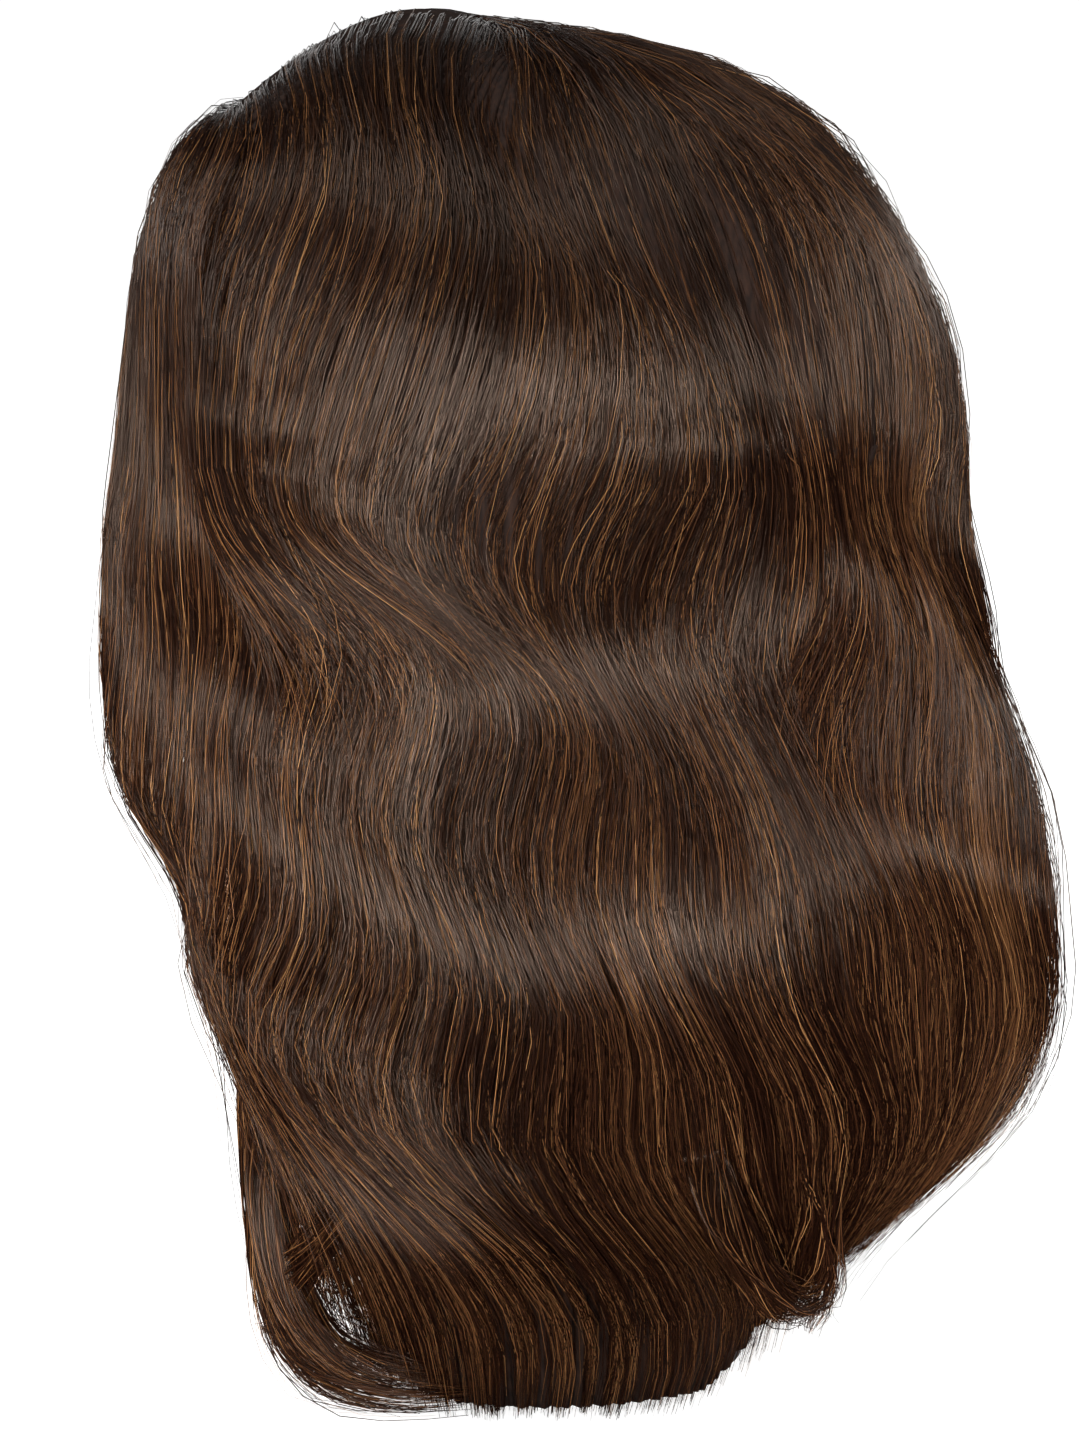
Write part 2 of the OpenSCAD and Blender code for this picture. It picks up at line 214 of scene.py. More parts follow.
def strand_mesh(name, paths, width, tint):
    """Closed three-sided strands, from paths of (strands, points, 3) and each one's full width and tint."""
    n, m, _ = paths.shape
    along = np.gradient(paths, axis=1)
    along /= np.linalg.norm(along, axis=2, keepdims=True) + 1e-9
    axis_z = np.minimum(paths[..., 2], WIDEST_H - 10)
    out = paths - np.stack([0 * axis_z, CENTRE_Y + 0 * axis_z, axis_z], axis=-1)
    across = np.cross(along, out)
    across /= np.linalg.norm(across, axis=2, keepdims=True) + 1e-9
    out = np.cross(across, along)
    t = np.linspace(0, 1, m)[None, :]
    slim = np.where(tint > GOLD_TINT, 0.64, 1)
    taper = (0.7 + 0.3 * ease(t / 0.08)) * (1 - 0.6 * ease((t - 0.7) / 0.3))
    half = 0.5 * (width * slim)[:, None] * taper
    corners = []
    for turn in (90, 210, 330):
        c, s = math.cos(math.radians(turn)), math.sin(math.radians(turn))
        corners.append(paths + (across * c + out * s * 0.8) * half[..., None])
    verts = np.stack(corners, axis=2).reshape(-1, 3)
    verts[:, 2] = np.maximum(verts[:, 2], LOWEST_POINT)

    base = (np.arange(n)[:, None, None] * m + np.arange(m - 1)[None, :, None]) * 3
    k = np.arange(3)[None, None, :]
    k2 = (k + 1) % 3
    quads = np.stack([base + k, base + k2, base + 3 + k2, base + 3 + k], axis=-1).reshape(-1, 4)
    start = np.arange(n) * m * 3
    end = start + (m - 1) * 3
    tris = np.concatenate([
        np.stack([start + 2, start + 1, start], axis=-1),
        np.stack([end, end + 1, end + 2], axis=-1),
    ])
    mesh, loops = mesh_from(name, verts, quads, tris)

    point_values(mesh, "tint", np.repeat(tint, m * 3))
    point_values(mesh, "along", np.tile(np.repeat(np.linspace(0, 1, m), 3), n))

    # Each strand has its own cell of the texture, so that a baked colour stays on its strand
    columns = 256
    rows = math.ceil(n / columns)
    strand = loops // (m * 3)
    level = (loops // 3) % m
    corner = loops % 3
    u = (strand % columns + 0.2 + 0.3 * corner) / columns
    v = (strand // columns + 0.05 + 0.9 * level / (m - 1)) / rows
    uv = mesh.uv_layers.new(name="OFBake")
    uv.data.foreach_set("uv", np.stack([u, v], axis=-1).astype(np.float32).ravel())
    return mesh


# ---- Materials ----
def material(name, roughness, **sockets):
    mat = bpy.data.materials.new(name)
    mat.use_nodes = True
    shader = mat.node_tree.nodes["Principled BSDF"]
    shader.inputs["Roughness"].default_value = roughness
    for key, value in sockets.items():
        shader.inputs[key.replace("_", " ")].default_value = value
    return mat, mat.node_tree, shader


def node(tree, kind, **values):
    made = tree.nodes.new(kind)
    for key, value in values.items():
        setattr(made, key, value)
    return made


def ramp(tree, stops):
    made = node(tree, "ShaderNodeValToRGB")
    elements = made.color_ramp.elements
    while len(elements) < len(stops):
        elements.new(0.5)
    for element, (place, colour) in zip(elements, stops):
        element.position = place
        element.color = (*colour, 1)
    return made


def noise(tree, scale, detail):
    made = node(tree, "ShaderNodeTexNoise")
    made.inputs["Scale"].default_value = scale
    made.inputs["Detail"].default_value = detail
    return made


def remapped(tree, value, low, high, span=(0, 1)):
    """Brings a value from its span to the range from low to high."""
    made = node(tree, "ShaderNodeMapRange", clamp=True)
    tree.links.new(value, made.inputs["Value"])
    for key, limit in zip(("From Min", "From Max", "To Min", "To Max"), (*span, low, high)):
        made.inputs[key].default_value = limit
    return made.outputs["Result"]


def scaled(tree, colour, factor):
    made = node(tree, "ShaderNodeVectorMath", operation="SCALE")
    tree.links.new(colour, made.inputs[0])
    tree.links.new(factor, made.inputs["Scale"])
    return made.outputs["Vector"]


def bumped(tree, shader, height, strength, distance):
    bump = node(tree, "ShaderNodeBump")
    bump.inputs["Strength"].default_value = strength
    bump.inputs["Distance"].default_value = distance
    tree.links.new(height, bump.inputs["Height"])
    tree.links.new(bump.outputs["Normal"], shader.inputs["Normal"])


def hair_material():
    mat, tree, shader = material("hair", 0.265, Specular_IOR_Level=0.36, Specular_Tint=(1.0, 0.74, 0.58, 1))
    tint = node(tree, "ShaderNodeAttribute", attribute_name="tint")
    along = node(tree, "ShaderNodeAttribute", attribute_name="along")
    colours = ramp(tree, [
        (0.0, (0.0030, 0.0008, 0.0004)),
        (0.45, (0.0080, 0.0025, 0.0012)),
        (0.72, (0.0270, 0.0098, 0.0038)),
        (0.90, (0.0960, 0.0420, 0.0150)),
        (1.0, (0.1900, 0.0960, 0.0370)),
    ])
    tree.links.new(tint.outputs["Fac"], colours.inputs["Fac"])
    paler_tips = remapped(tree, along.outputs["Fac"], 0.6, 1.75)
    blotches = remapped(tree, noise(tree, 60, 2).outputs["Fac"], 0.8, 1.2)
    times = node(tree, "ShaderNodeMath", operation="MULTIPLY")
    tree.links.new(paler_tips, times.inputs[0])
    tree.links.new(blotches, times.inputs[1])
    mixed = scaled(tree, colours.outputs["Color"], times.outputs["Value"])
    tree.links.new(mixed, shader.inputs["Base Color"])
    return mat


HAIR = hair_material()

# ---- Strands ----
DOME_POINTS = 8
DROP_POINTS = 15
STRAND_W = (0.17, 0.36)
CURL_W = (0.22, 0.42)
FINE_LOCK = math.radians(1.1)
BROAD_LOCK = math.radians(6.5)
# How many random characters the locks and the tresses draw from
LOCK_KINDS = 997
GOLD_TINT = 0.7
GOLD_SHARE = 0.17
PALE_SHARE = 0.03
TABLE_GAP = 0.6
LOWEST_POINT = 0.15
# Ends of the parting, in plan
PARTING_FRONT = (-22, CENTRE_Y - 78)
PARTING_BACK = (-8, CENTRE_Y - 8)


def wave(angle, z, seed, pitch=1.0):
    """Smooth wandering shared by neighbouring strands, about -1 to 1."""
    g = np.random.default_rng(seed)
    total = 0
    for _ in range(6):
        across = g.uniform(1, 7) * pitch
        down = g.uniform(0.004, 0.014) * pitch
        total = total + np.sin(across * angle + 2 * math.pi * down * z + g.uniform(0, 6.3))
    return total / 3


def root_place(angle):
    """Where the strands that reach the widest level at an angle leave the parting, in plan."""
    share = ease((from_face(angle) - 48) / 56)
    return tuple(front + (back - front) * share for front, back in zip(PARTING_FRONT, PARTING_BACK))


# Drift of the strands round the head by the time they reach the table: angle where they start, drift
LOW_SWEEP = [
    (-10, 0), (34, 4), (48, 16), (62, 26), (78, 25), (92, 19), (110, 30), (122, 25), (136, 14), (150, 4),
    (165, -5), (180, -9), (205, -6), (235, -4), (262, -12), (290, -14), (312, -6),
]


def sweep(angle, z):
    """Drift of the strands round the head as they fall, in radians."""
    turn = np.degrees(angle)
    low = ease((105 - z) / 92)
    middle = ease((215 - z) / 60) * ease((turn - 72) / 30) * ease((170 - turn) / 40)
    edge = 12 + 42 * ease((162 - z) / 44)
    behind = 0.95 * np.maximum(0, edge - turn) * (turn < 180) * ease((WIDEST_H + 4 - z) / 52)
    return np.radians(curve(LOW_SWEEP, turn) * low + 6 * middle + behind)


def inner_hem(angle):
    """Height of the lowest inner hair at an angle: on the table round the neck, higher at the nape."""
    turn = np.degrees(angle) % 360
    left = turn < 180
    turn = np.where(left, turn, 360 - turn)
    return 0.9 + 34 * ease((turn - 134) / 34) + np.where(left, 0, 24 * ease((74 - turn) / 34))


def hem(angle):
    """Height of the lowest outer hair at an angle, which also lifts over the curl."""
    turn = np.degrees(angle) % 360
    back = np.minimum(turn, 360 - turn)
    return inner_hem(angle) + 9 * bell(back - 130, 14) + np.where(turn < 180, 26 * bell(turn - 66, 9), 0)


class Strands:
    """Strands that reach the widest level at their angles, with the locks and broad tresses they lie in."""

    def __init__(self, angle, loose, seed):
        n = len(angle)
        g = np.random.default_rng(seed)
        fine = np.round(angle / FINE_LOCK + 0.4 * np.sin(50 * angle))
        broad = np.round(angle / BROAD_LOCK + 0.3 * np.sin(9 * angle))
        lock = np.abs(fine.astype(int)) % LOCK_KINDS
        tress = np.abs(broad.astype(int)) % LOCK_KINDS
        self.angle = angle[:, None]
        self.to_lock = (fine * FINE_LOCK - angle)[:, None]
        self.to_tress = (broad * BROAD_LOCK - angle)[:, None]
        self.lock_out, self.lock_phase, self.lock_short = g.normal(0, 1, (3, LOCK_KINDS))[:, lock, None]
        self.tress_out, self.tress_phase, self.tress_short = g.normal(0, 1, (3, LOCK_KINDS))[:, tress, None]
        self.stray = (loose * g.normal(0, 1, n))[:, None]
        self.stray_phase = g.uniform(0, 6.3, n)[:, None]
        self.stray_pitch = g.uniform(24, 70, n)[:, None]
        self.kink = g.gamma(2, 0.16, n)[:, None]
        self.kink_phase = g.uniform(0, 6.3, n)[:, None]
        self.kink_pitch = g.uniform(10, 18, n)[:, None]
        self.root_x, self.root_y = root_place(angle)
        behind = ease((from_face(angle) - 84) / 30)
        self.root_x = self.root_x + g.normal(0, 0.9, n) * (1 + 3.4 * behind)
        self.root_y = self.root_y + g.normal(0, 3.0, n) * (1 + 0.7 * behind)

    def drifted(self, z):
        """Angle at a height, after the drift that all the hair shares and that of the one strand."""
        shared = 0.068 * wave(self.angle, z, 7) * (0.35 + 0.65 * ease((z - 20) / 90))
        own = self.stray * np.sin(z / self.stray_pitch + self.stray_phase) / 90
        return self.angle + (shared + own * ease((330 - z) / 80))

    def locks(self, z):
        """Ripple of each tress and lock, which breaks the sheen into locks."""
        of_tress = 1.1 * np.sin(z / 19 + 3 * self.tress_phase)
        return of_tress + 0.5 * np.sin(z / 14 + 3 * self.lock_phase)

    def kinks(self, z):
        return self.kink * np.sin(z / self.kink_pitch + self.kink_phase)

    def over_dome(self, start, depth):
        """Points from the roots by the parting to just above the widest level."""
        tau = start[:, None] + (1 - start[:, None]) * np.linspace(0, 1, DOME_POINTS)[None, :-1] ** 1.4
        reach = np.sin(0.5 * math.pi * tau)
        rise = ease((tau - start[:, None]) / np.minimum(0.26, 1 - start[:, None]))
        flatter = -1.4 * bell(tau - 0.22, 0.24) * bell(np.degrees(self.angle) - 60, 80)
        off = -3.4 + (3.4 - depth[:, None]) * rise + flatter * rise
        a = self.drifted(WIDEST_H + 110 * (1 - tau))
        edge_x = (HALF_W + HAIR_T + off) * np.sin(a)
        edge_y = CENTRE_Y - (HALF_D + HAIR_T + off) * np.cos(a)
        x = self.root_x[:, None] + (edge_x - self.root_x[:, None]) * reach
        y = self.root_y[:, None] + (edge_y - self.root_y[:, None]) * reach
        z = domed(x, y, off)[..., 2]
        ripple = (1.3 * wave(self.angle, z, 9) + 0.8 * self.tress_out) * rise
        ripple = ripple + self.locks(z) * rise + relief(self.angle, z)
        ripple = ripple + self.kinks(z)
        return domed(x, y, off + ripple + crown(x, y))

    def below(self, tip, depth, proud, tuck, drift):
        """Points from the widest level down to the tips."""
        tip = tip[:, None]
        uneven = (1.5 * self.lock_short + 2.5 * self.tress_short) * (tip > 12)
        tip = np.maximum(tip + uneven, TABLE_GAP + 0.2)
        v = np.linspace(0, 1, DROP_POINTS)[None, :]
        v = 1 - (1 - v) ** 1.15
        z = WIDEST_H - (WIDEST_H - tip) * v
        fallen = (WIDEST_H - z) / WIDEST_H
        a = self.drifted(z)
        a = a + self.to_lock * 0.28 * ease(fallen * 2)
        a = a + self.to_tress * 0.30 * ease(fallen * 1.2 - 0.1)
        swing = np.sin(z / 40 + 2 * self.tress_phase) * self.tress_out
        a = a + math.radians(1.5) * swing * ease(fallen * 1.5) * ease(z / 90)
        a = a + sweep(self.angle, z) + np.reshape(drift, (-1, 1)) * ease((WIDEST_H - 12 - z) / 55)
        end = ease((v - 0.70) / 0.30)
        off = -depth[:, None] + (depth + proud)[:, None] * ease(fallen * 2.2)
        parted = (0.7 * self.lock_out + 0.9 * self.tress_out) * ease(fallen * 2)
        off = off + 0.8 * self.tress_out + parted
        off = off + 1.3 * wave(a, z, 9) + self.locks(z) + relief(a, z) - tuck[:, None] * end**2
        return hanging(a, z, off + self.kinks(z))


def fall(angle, start, tip, depth, proud, tuck, loose, seed, drift=0):
    """Paths of strands that leave the parting, reach the widest level at an angle and hang to a tip height.

    start is how far over the dome each takes root, and depth how far it lies inside the outline at the
    widest level. proud is how far it stands outside the outline lower down, and tuck how far its end turns
    under. loose is how far it strays from its lock, and drift how far it is combed sideways, in radians.
    """
    strands = Strands(angle, loose, seed)
    over = strands.over_dome(start, depth)
    paths = np.concatenate([over, strands.below(tip, depth, proud, tuck, drift)], axis=1)

    # Averaging with the points before and after rounds the bend where the dome meets the drop
    first, last = DOME_POINTS - 3, DOME_POINTS + 2
    beside = paths[:, first - 1:last - 1] + paths[:, first + 1:last + 1]
    paths[:, first:last] = 0.5 * paths[:, first:last] + 0.25 * beside
    paths[..., 2] = np.maximum(paths[..., 2], TABLE_GAP)
    return paths


def tints(angle, seed):
    """Strand shades: mostly dark, some brown, about one in six golden; neighbours share a little. Those
    round the back are paler, a painted glow of light through the hair.
    """
    g = np.random.default_rng(seed)
    n = len(angle)
    # Strands round the back, near 168 degrees, are paler and warmer: painted glow of light shining through
    # the hair at that edge.
    t = g.normal(0.38, 0.20, n) + 0.12 * wave(angle, 0, 31, 4) + 0.16 * bell(np.degrees(angle) - 168, 16)
    t = np.clip(t, 0.0, 0.8)
    gold = g.random(n)
    t = np.where(gold < GOLD_SHARE, g.uniform(0.72, 0.93, n), t)
    return np.where(gold < PALE_SHARE, g.uniform(0.92, 1.0, n), t)


def section(name, first, last, count, upper, tips, seed, stands_for=None):
    """One section of hair between two angles in degrees; tips is a function of angle and a random share."""
    g = np.random.default_rng(seed)
    angle = np.radians(g.uniform(first, last, count))
    share = g.random(count)
    if upper:
        start = np.where(g.random(count) < 0.55, 0.0, g.uniform(0, 0.8, count))
        depth = g.uniform(-0.5, 3.4, count) + 1.2 * start
        proud = g.uniform(-3.5, 1.2, count)
        tuck = g.uniform(0, 5, count)
    else:
        start = g.uniform(0.55, 0.9, count)
        depth = g.uniform(3.8, 7.2, count)
        over_curl = bell(np.degrees(angle + sweep(angle, 0 * angle)) - 66, 10)
        proud = -g.uniform(0.5, 9.0, count) - 15 * over_curl
        tuck = g.uniform(1, 10, count)
    loose = g.gamma(1.6, 0.62, count) + 3.0 * (g.random(count) < 0.06)
    paths = fall(angle, start, tips(angle, share), depth, proud, tuck, loose, seed)
    mesh = strand_mesh(name, paths, g.uniform(*STRAND_W, count), tints(angle, seed + 5))
    return piece(name, mesh, HAIR, "hair", *([name] if stands_for is None else stands_for))


def loose_layer(name, first, last, count, tip_range, proud_range, drift, stray, seed):
    """Strands that lie over the sections: a shorter layer combed sideways, or flyaways."""
    g = np.random.default_rng(seed)
    angle = np.radians(g.uniform(first, last, count))
    start = g.uniform(0, 0.7, count)
    depth = g.uniform(-1.2, 0.8, count)
    tips = g.uniform(*tip_range, count)
    proud = g.uniform(*proud_range, count)
    tuck = g.uniform(-2, 2, count)
    loose = g.gamma(1.6, stray, count)
    combed = math.radians(drift) * g.uniform(0.45, 1.1, count)
    paths = fall(angle, start, tips, depth, proud, tuck, loose, seed, combed)
    mesh = strand_mesh(name, paths, g.uniform(*STRAND_W, count), tints(angle, seed + 5))
    return piece(name, mesh, HAIR, "hair")


def upper_tips(angle, share):
    return hem(angle + sweep(angle, 0 * angle)) + 160 * share**1.3


def fringe_tips(angle, share):
    edge = 150 - 92 * ease((np.degrees(angle) + 8) / 56)
    return edge + 60 * share**1.5


def lower_tips(angle, share):
    return inner_hem(angle + sweep(angle, 0 * angle)) - 1 + 26 * share**4


# ---- Curls ----
def smooth_route(points, count):
    """Evenly spaced points on a smooth curve through a few given ones."""
    p = np.array(points, dtype=float)
    steps = np.concatenate([[0], np.cumsum(np.linalg.norm(np.diff(p[:, :3], axis=0), axis=1))])
    t = np.linspace(0, steps[-1], count)
    return np.stack([curve(np.stack([steps, p[:, k]], axis=-1), t) for k in range(p.shape[1])], axis=-1)


def curl(name, routes, seed, stands_for):
    """Locks of strands, each along a route of (x, y, z, radius) points and with its number of strands."""
    g = np.random.default_rng(seed)
    paths, angles = [], []
    for route, count in routes:
        line = smooth_route(route, DOME_POINTS + DROP_POINTS - 1)
        line[:, 1] += CENTRE_Y
        along = np.gradient(line[:, :3], axis=0)
        along /= np.linalg.norm(along, axis=1, keepdims=True)
        u = np.cross(along, [0.2, 0.3, 1.0])
        u /= np.linalg.norm(u, axis=1, keepdims=True)
        v = np.cross(along, u)
        turn = g.uniform(0, 2 * math.pi, (count, 1))
        far = np.sqrt(g.random((count, 1)))
        slide = g.uniform(0.72, 1.0, (count, 1))
        t = np.linspace(0, 1, len(line))[None, :]
        at = slide * t * (len(line) - 1)
        i = np.minimum(at.astype(int), len(line) - 2)
        f = (at - i)[..., None]
        middle = line[i, :3] * (1 - f) + line[i + 1, :3] * f
        radius = (line[i, 3] * (1 - f[..., 0]) + line[i + 1, 3] * f[..., 0]) * far
        swing = turn + 0.9 * t + 0.35 * np.sin(7 * t + 3 * turn)
        spread = radius * (1 + 0.35 * g.normal(0, 1, (count, 1)) * ease((t - 0.6) / 0.4))
        side = u[i] * np.cos(swing)[..., None] + v[i] * np.sin(swing)[..., None]
        paths.append(middle + side * spread[..., None])
        angles.append(g.uniform(0, 6.3, count))
    paths = np.concatenate(paths)
    paths[..., 2] = np.maximum(paths[..., 2], TABLE_GAP)
    angles = np.concatenate(angles)
    mesh = strand_mesh(name, paths, g.uniform(*CURL_W, len(paths)), tints(angles, seed))
    return piece(name, mesh, HAIR, "hair", *stands_for)


# The lock that turns under on the table, the lock that crosses it, and strands that join them:
# x, y from the centre of the skull, z, radius
FRONT_CURL = [
    ([(71, -45, 136, 2), (69, -49, 106, 3), (65, -52, 76, 5), (61, -51, 46, 6), (61, -48, 28, 7),
      (63, -42, 15, 8), (66, -33, 9, 8), (68, -23, 7, 7), (67, -12, 6, 6), (63, -1, 6, 4)], 760),
    ([(84, -17, 70, 3), (81, -23, 58, 4), (74, -33, 44, 5), (67, -43, 32, 5), (62, -48, 22, 5),
      (59, -49, 12, 4)], 260),
    ([(72, -46, 104, 2), (67, -51, 62, 4), (69, -48, 38, 4), (71, -41, 22, 4), (73, -28, 11, 4),
      (72, -13, 7, 3)], 200),
    ([(68, -44, 104, 2), (60, -46, 66, 5), (53, -46, 38, 8), (50, -45, 20, 9), (48, -43, 6, 8)], 340),
]
TIP_CURL = [
    ([(60, 77, 84, 5), (56, 78, 62, 6), (50, 77, 46, 6), (45, 76, 34, 6), (43, 76, 26, 5),
      (46, 74, 20, 3)], 420),
    ([(74, 55, 70, 5), (70, 61, 50, 6), (62, 67, 36, 5), (53, 73, 28, 5), (46, 80, 30, 3)], 300),
]


# ---- Undercoat ----
def undercoat_material():
    """Matt dark mat with a grain that runs down it."""
    mat, tree, shader = material("hair_mat", 0.85, Specular_IOR_Level=0.12)
    place = node(tree, "ShaderNodeTexCoord")
    squeeze = node(tree, "ShaderNodeMapping")
    squeeze.inputs["Scale"].default_value = (900, 900, 40)
    grain = noise(tree, 1.0, 3)
    tree.links.new(place.outputs["Object"], squeeze.inputs["Vector"])
    tree.links.new(squeeze.outputs["Vector"], grain.inputs["Vector"])
    shade = ramp(tree, [(0.35, (0.0040, 0.0016, 0.0009)), (0.75, (0.0150, 0.0062, 0.0032))])
    tree.links.new(grain.outputs["Fac"], shade.inputs["Fac"])
    tree.links.new(shade.outputs["Color"], shader.inputs["Base Color"])
    return mat


def undercoat():
    """Grooved dark mat of the shortest hair, on the scalp and behind the long layer."""
    cols, dome_rows, drop_rows = 720, 24, 30
    angle = np.linspace(0, 2 * math.pi, cols, endpoint=False)[None, :]
    turn = from_face(angle)
    groove = 0.5 * np.sin(97 * angle) + 0.4 * np.sin(181 * angle + 1) + 0.3 * np.sin(263 * angle + 2)
    face = ease((58 - turn) / 10)
    share = np.linspace(0.04, 1, dome_rows)[:, None]
    last = 1 - 0.40 * face
    r = np.sin(0.5 * math.pi * share * last)
    off = -6.0 + 2.2 * ease((share - 0.08) / 0.2) + groove * ease((share - 0.1) / 0.3)
    x = r * (HALF_W + HAIR_T + off) * np.sin(angle)
    y = CENTRE_Y - r * (HALF_D + HAIR_T + off) * np.cos(angle)
    over = domed(x, y, off + crown(x, y))
    over = domed(x, y, off + crown(x, y) + relief(angle, over[..., 2]))
    low = inner_hem(angle) + 1.4
    down = np.linspace(0, 1, drop_rows + 1)[1:, None]
    z = WIDEST_H - (WIDEST_H - low) * down
    behind_curl = bell(turn - 66, 10) * (angle < math.pi) * ease((70 - z) / 36)
    inset = 3.8 + 7.7 * ease(down * 1.5) + 13 * behind_curl
    hang = hanging(angle, z, relief(angle, z) - inset + groove * (1 + down))
    behind = turn[0] > 62
    rows = np.concatenate([over, hang])
    count = len(rows)
    quads = []
    index = np.arange(count * cols).reshape(count, cols)
    for i in range(count - 1):
        keep = np.ones(cols, bool) if i < dome_rows - 1 else behind & np.roll(behind, -1)
        a, b = index[i], np.roll(index[i], -1)
        c, d = np.roll(index[i + 1], -1), index[i + 1]
        quads.append(np.stack([a, b, c, d], axis=-1)[keep])
    quads = np.concatenate(quads)
    used, flat = np.unique(quads, return_inverse=True)
    mesh, _ = mesh_from("undercoat", rows.reshape(-1, 3)[used], flat.reshape(-1, 4))
    obj = piece("undercoat", mesh, undercoat_material(), "hair")
    thick = obj.modifiers.new("thickness", "SOLIDIFY")
    thick.thickness = 1.2 * MM
    thick.offset = -1
    return obj


# name, first and last angle, whether it is of the upper layer, where its tips hang
SECTIONS = [
    ("fringe_left", -10, 42, True, fringe_tips),
    ("fringe_right", 296, 314, True, upper_tips),
    ("top_side_left", 40, 106, True, upper_tips),
    ("top_side_right", 250, 306, True, upper_tips),
    ("crown_back_left", 106, 178, True, upper_tips),
    ("crown_back_right", 178, 250, True, upper_tips),
    ("side_front_left", 36, 68, False, lower_tips),
    ("side_left", 62, 108, False, lower_tips),
    ("side_right", 252, 306, False, lower_tips),
    ("back_left", 108, 145, False, lower_tips),
    ("back_right", 215, 252, False, lower_tips),
    ("nape_left", 145, 180, False, lower_tips),
    ("nape_right", 180, 215, False, lower_tips),
]
PER_SECTION = 1400
FULL_SPAN = 30


def hair():
    for seed, (name, first, last, upper, tips) in enumerate(SECTIONS, start=101):
        count = int(PER_SECTION * min(1, (last - first) / FULL_SPAN))
        section(name, first, last, count, upper, tips, seed)
        if upper and last - first > FULL_SPAN:
            section(name + "_veil", first, last, count, upper, tips, seed + 50, stands_for=())
    loose_layer("fringe_layer", 50, 84, 560, (150, 186), (0, 2.5), 24, 0.8, 201)
    loose_layer("crown_layer", 132, 168, 360, (140, 185), (0, 3), -9, 0.9, 202)
    loose_layer("side_layer", 84, 132, 420, (108, 150), (-1, 2), 6, 0.9, 203)
    loose_layer("flyaways", 20, 312, 420, (20, 190), (1, 4.5), 0, 2.2, 204)
    curl("front_curl", FRONT_CURL, 301, ["front_curl"])
    curl("tip_curl", TIP_CURL, 302, ["tip_curl"])
    undercoat()


# ---- Head ----
SKIN_T = 5.0
SKULL_TILT = 0.25
EYE_R = 12.0
EYE_TURN = math.radians(22)
EYE_BACK = 73.0
LID_T = 0.9
BALL_X = EYE_BACK * math.sin(EYE_TURN)
BALL_Y = CENTRE_Y - EYE_BACK * math.cos(EYE_TURN)
OPEN_X = 30.6
OPEN_W = 9.6
MOUTH_H = 132.0
BROW_H = 216.8
UPPER_OPEN = 4.3
LOWER_OPEN = 3.4
LASH_W = 0.24
BROW_W = 0.15


def skull(angle, z, lift, inset):
    """Point of the bare skull and neck; lift in degrees climbs the dome above the widest level."""
    power = 2.05 + SKULL_TILT * np.cos(angle)
    k = np.where(lift > 0, np.maximum(1 - np.sin(np.radians(lift)) ** power, 0) ** (1 / power), 1.0)
    h = np.minimum(z, WIDEST_H)
    cy = CENTRE_Y * ease((h - 55) / 60)
    wide = curve(SIDE_LINE, h) - inset
    front = cy - curve(FRONT_LINE, h) - inset
    back = curve(BACK_LINE, h) - cy - inset
    x = wide * k * np.sin(angle)
    y = cy - np.where(np.cos(angle) > 0, front, back) * k * np.cos(angle)
    return x, y, z + 0 * x


def nose(x, z):
    side = np.abs(x)
    ridge = 16 * ease((210 - z) / 54) * ease((z - 149) / 9) * bell(x, 5.4 + 3.2 * ease((192 - z) / 34))
    wings = 5.6 * bell(side - 11.5, 3.8) * bell(z - 157, 5.0)
    crease = -1.6 * bell(side - 16.5, 1.8) * bell(z - 158, 5.5)
    nostrils = -5.0 * bell(side - 6.0, 2.4) * bell(z - 151.2, 2.2)
    return ridge + wings + crease + nostrils


def eye_bed(x, z):
    side = np.abs(x)
    bed = -7.5 * plateau(np.hypot((side - EYE_X) / 1.25, z - EYE_H), 13)
    brow = 3.0 * bell(side - 30, 16) * bell(z - 222, 6) + 0.9 * bell(side - 28, 12) * bell(z - 216, 3.5)
    return bed + brow


def lip_line(x):
    """Height of the line between the lips, and of the upper lip's edge above it."""
    side = np.abs(x)
    line = MOUTH_H + 0.9 * bell(side - 5, 4) - 0.02 * side
    return line, 6.2 + 1.4 * bell(side - 5, 3.2) - 0.9 * bell(x, 2.2)


def mouth(x, z):
    line, height = lip_line(x)
    wide = np.clip(1 - (np.abs(x) / 25) ** 2, 0, 1) ** 0.7
    upper = 4.6 * bell(z - line - 0.45 * height, 0.5 * height)
    lower = 5.6 * bell(z - line + 4.6, 3.6)
    part = -3.4 * bell(z - line, 0.9)
    corner = -1.8 * bell(np.abs(x) - 24.5, 3) * bell(z - line, 3)
    groove = -1.1 * bell(x, 2.6) * bell(z - 145, 4.5)
    return (upper + lower + part) * wide * bell(x, 19) + corner + groove


def chin(x, z):
    return 4 * bell(x, 16) * bell(z - 103, 10) - 3 * bell(x, 15) * bell(z - 117, 5)


def cheek(x, z):
    return 4 * bell(np.abs(x) - 44, 16) * bell(z - 172, 16)


def opening(x, z):
    """How far inside the opening between the lids a place is, in millimetres; negative on the lids."""
    w = np.clip((np.abs(x) - OPEN_X) / OPEN_W, -1, 1)
    arch = np.sqrt(np.clip(1 - w * w, 0, 1))
    tilt = 0.6 * w
    upper = EYE_H + tilt + UPPER_OPEN * arch * (1 - 0.15 * w) - z
    lower = z - (EYE_H + tilt - LOWER_OPEN * arch * (1 + 0.1 * w))
    return np.minimum(upper, lower)


